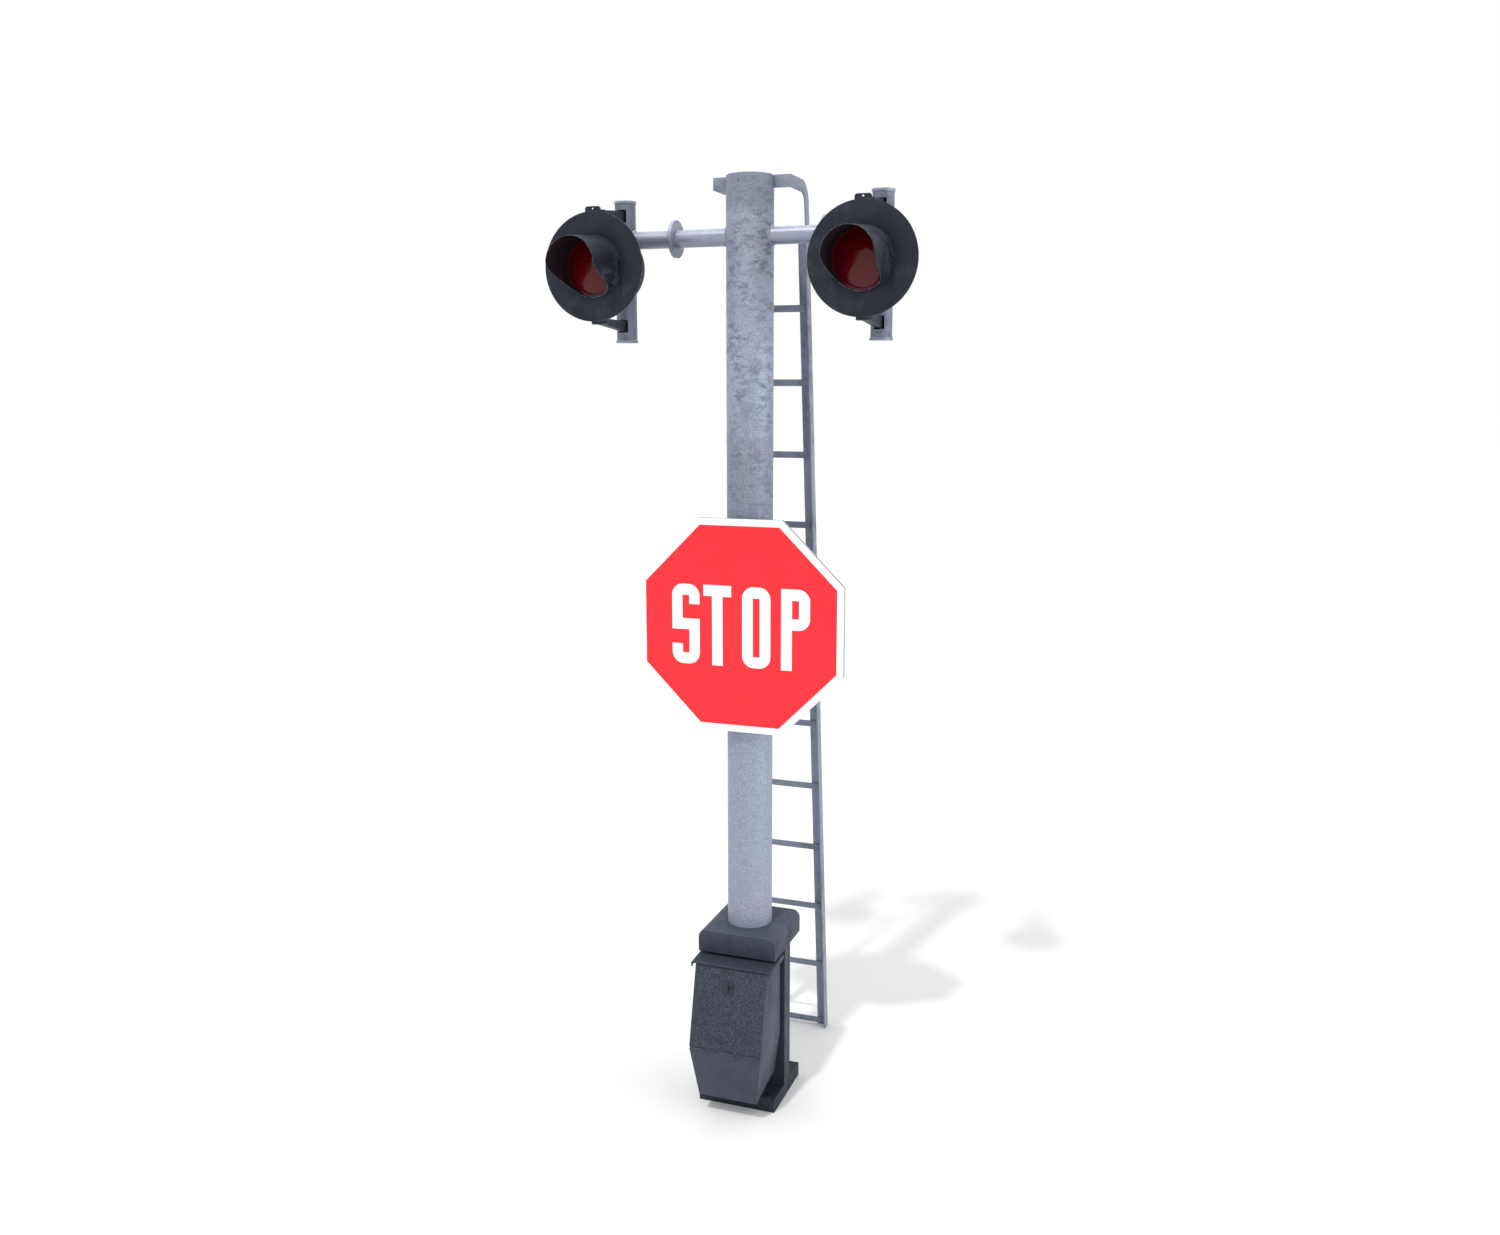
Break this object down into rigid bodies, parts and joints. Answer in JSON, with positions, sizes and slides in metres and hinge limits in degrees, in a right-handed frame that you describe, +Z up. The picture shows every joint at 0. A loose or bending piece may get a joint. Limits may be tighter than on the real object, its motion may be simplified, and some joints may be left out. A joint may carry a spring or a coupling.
{
  "type": "level crossing warning signal",
  "caption": "Free-standing level crossing signal: hooded red lamps on a cross-arm, octagonal sign, ladder, cast pedestal and cabinet.",
  "frame": {"origin": "on the pole's axis, at ground level under the pedestal's foot", "axes": "+Z up along the pole, front (lamps and sign) towards -Y, +X to the right seen from the front"},
  "size_m": [1.5259, 1.2, 3.95],
  "materials": {
    "cast_iron_dark": "painted casting, satin",
    "galvanised_steel": "hot-dip galvanised, mottled matt grey",
    "zinc_fasteners": "zinc plated",
    "sign_aluminium": "mill finish",
    "white_sheeting": "retroreflective sheeting",
    "red_sheeting": "retroreflective sheeting",
    "cabinet_paint": "textured paint",
    "lamp_black": "matt paint",
    "red_glass": "deep red, polished",
    "seal_rubber": "matt",
    "reflector_mirror": "polished",
    "bulb_glass": "clear",
    "socket_ceramic": "glazed",
    "lock_brass": "worn",
    "gland_plastic": "moulded",
    "terminal_plastic": "moulded"
  },
  "bodies": {
    "root": {"pedestal_front": "cast_iron_dark", "pedestal_rear": "cast_iron_dark", "pedestal_tie_bolts": "zinc_fasteners", "pedestal_tie_nuts": "zinc_fasteners", "pole": "galvanised_steel", "pole_cap": "galvanised_steel", "crossarm": "galvanised_steel", "crossarm_collar_left": "galvanised_steel", "crossarm_collar_right": "galvanised_steel", "lamp_post_left": "galvanised_steel", "lamp_post_right": "galvanised_steel", "lamp_post_caps": "galvanised_steel", "lamp_tie_rods": "zinc_fasteners", "lamp_pivot_pins": "zinc_fasteners", "lamp_brackets_left": "lamp_black", "lamp_brackets_right": "lamp_black", "sign_plate": "sign_aluminium", "sign_white_sheet": "white_sheeting", "sign_red_sheet": "red_sheeting", "sign_legend": "white_sheeting", "sign_rails": "galvanised_steel", "sign_saddles": "galvanised_steel", "sign_ubolts": "zinc_fasteners", "sign_ubolt_nuts": "zinc_fasteners", "ladder_stile_left": "galvanised_steel", "ladder_stile_right": "galvanised_steel", "ladder_rungs": "galvanised_steel", "ladder_hangers": "galvanised_steel", "cabinet_shell": "cabinet_paint", "cabinet_hinge_pin": "zinc_fasteners", "cabinet_rain_hood": "cabinet_paint", "cabinet_spacers": "zinc_fasteners", "cabinet_bolts": "zinc_fasteners", "cable_gland": "gland_plastic", "terminal_rail": "zinc_fasteners", "terminal_blocks": "terminal_plastic"},
    "cabinet_door_leaf": {"cabinet_door": "cabinet_paint", "cabinet_door_seal": "seal_rubber", "cabinet_lock_plate": "cabinet_paint"},
    "cabinet_lock_barrel": {"cabinet_lock": "lock_brass"},
    "lamp_head_left": {"lamp_housing_left": "lamp_black", "lamp_reflector_left": "reflector_mirror", "lamp_bulb_left": "bulb_glass", "lamp_socket_left": "socket_ceramic", "lamp_hinge_pin_left": "zinc_fasteners"},
    "lamp_front_left": {"lamp_background_left": "lamp_black", "lamp_hood_left": "lamp_black", "lamp_lens_left": "red_glass", "lamp_lens_seal_left": "seal_rubber"},
    "lamp_head_right": {"lamp_housing_right": "lamp_black", "lamp_reflector_right": "reflector_mirror", "lamp_bulb_right": "bulb_glass", "lamp_socket_right": "socket_ceramic", "lamp_hinge_pin_right": "zinc_fasteners"},
    "lamp_front_right": {"lamp_background_right": "lamp_black", "lamp_hood_right": "lamp_black", "lamp_lens_right": "red_glass", "lamp_lens_seal_right": "seal_rubber"}
  },
  "joints": [
    {"name": "lamp_left_swivel", "type": "hinge", "parent": "root", "child": "lamp_head_left", "pos_m": [-0.55, -0.26, 3.586], "axis": [0, 0, 1], "range_deg": [-20, 20]},
    {"name": "lamp_left_front", "type": "hinge", "parent": "lamp_head_left", "child": "lamp_front_left", "pos_m": [-0.726, -0.294, 3.586], "axis": [0, 0, -1], "range_deg": [0, 100]},
    {"name": "lamp_right_swivel", "type": "hinge", "parent": "root", "child": "lamp_head_right", "pos_m": [0.55, -0.26, 3.586], "axis": [0, 0, 1], "range_deg": [-20, 20]},
    {"name": "lamp_right_front", "type": "hinge", "parent": "lamp_head_right", "child": "lamp_front_right", "pos_m": [0.726, -0.294, 3.586], "axis": [0, 0, 1], "range_deg": [0, 100]},
    {"name": "cabinet_door_hinge", "type": "hinge", "parent": "root", "child": "cabinet_door_leaf", "pos_m": [0, -0.324, 0.324], "axis": [1, 0, 0], "range_deg": [0, 115]},
    {"name": "cabinet_lock_turn", "type": "hinge", "parent": "cabinet_door_leaf", "child": "cabinet_lock_barrel", "pos_m": [0, -0.25974, 0.59], "axis": [0, -0.972, 0.2348], "range_deg": [0, 90]}
  ]
}
